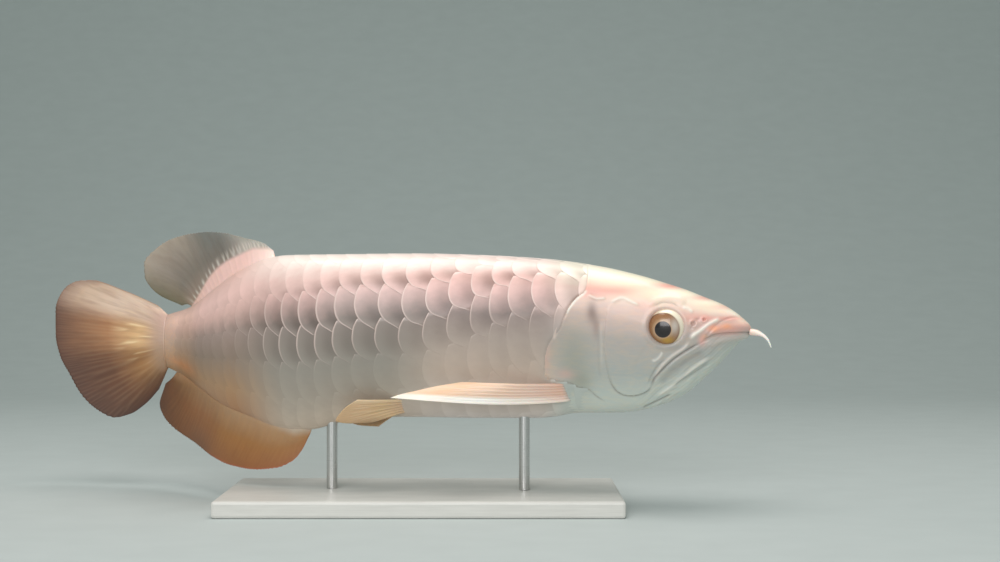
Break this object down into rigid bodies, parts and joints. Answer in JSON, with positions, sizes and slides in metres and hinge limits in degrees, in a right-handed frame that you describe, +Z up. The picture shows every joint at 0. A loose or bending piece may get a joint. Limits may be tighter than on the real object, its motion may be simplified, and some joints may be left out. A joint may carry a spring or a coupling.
{
  "type": "asian arowana display model",
  "caption": "Life-size still model of an asian arowana swimming with its tail swept aside, held over a flat base on short rods.",
  "frame": {"origin": "centre of the underside of the display base, on the surface the model stands on", "axes": "+Z up, +X toward the fish's snout along the base's length, +Y to the fish's left"},
  "size_m": [0.5592, 0.1607, 0.2046],
  "materials": {
    "skin": "satin lacquered fish skin, cream and pink above, silver grey on the flank",
    "median_fins": "thin rayed membrane, orange brown to red brown, satin",
    "paired_fins": "thin rayed membrane, pale pink cream, satin",
    "eyes": "clear gloss over a copper gold iris and a dark pupil",
    "barbels": "smooth pale pink skin",
    "base_paint": "fine satin pale grey paint",
    "rod_steel": "brushed stainless steel"
  },
  "bodies": {
    "root": {"head": "skin", "lower_jaw": "skin", "shoulder": "skin", "trunk_front": "skin", "trunk_rear": "skin", "tail": "skin", "gill_cover_left": "skin", "gill_cover_right": "skin", "dorsal_fin": "median_fins", "anal_fin": "median_fins", "caudal_fin": "median_fins", "pectoral_fin_left": "paired_fins", "pectoral_fin_right": "paired_fins", "pelvic_fin_left": "paired_fins", "pelvic_fin_right": "paired_fins", "eye_left": "eyes", "eye_right": "eyes", "barbel_left": "barbels", "barbel_right": "barbels", "stand_base": "base_paint", "stand_rod_front": "rod_steel", "stand_rod_rear": "rod_steel"}
  },
  "joints": []
}
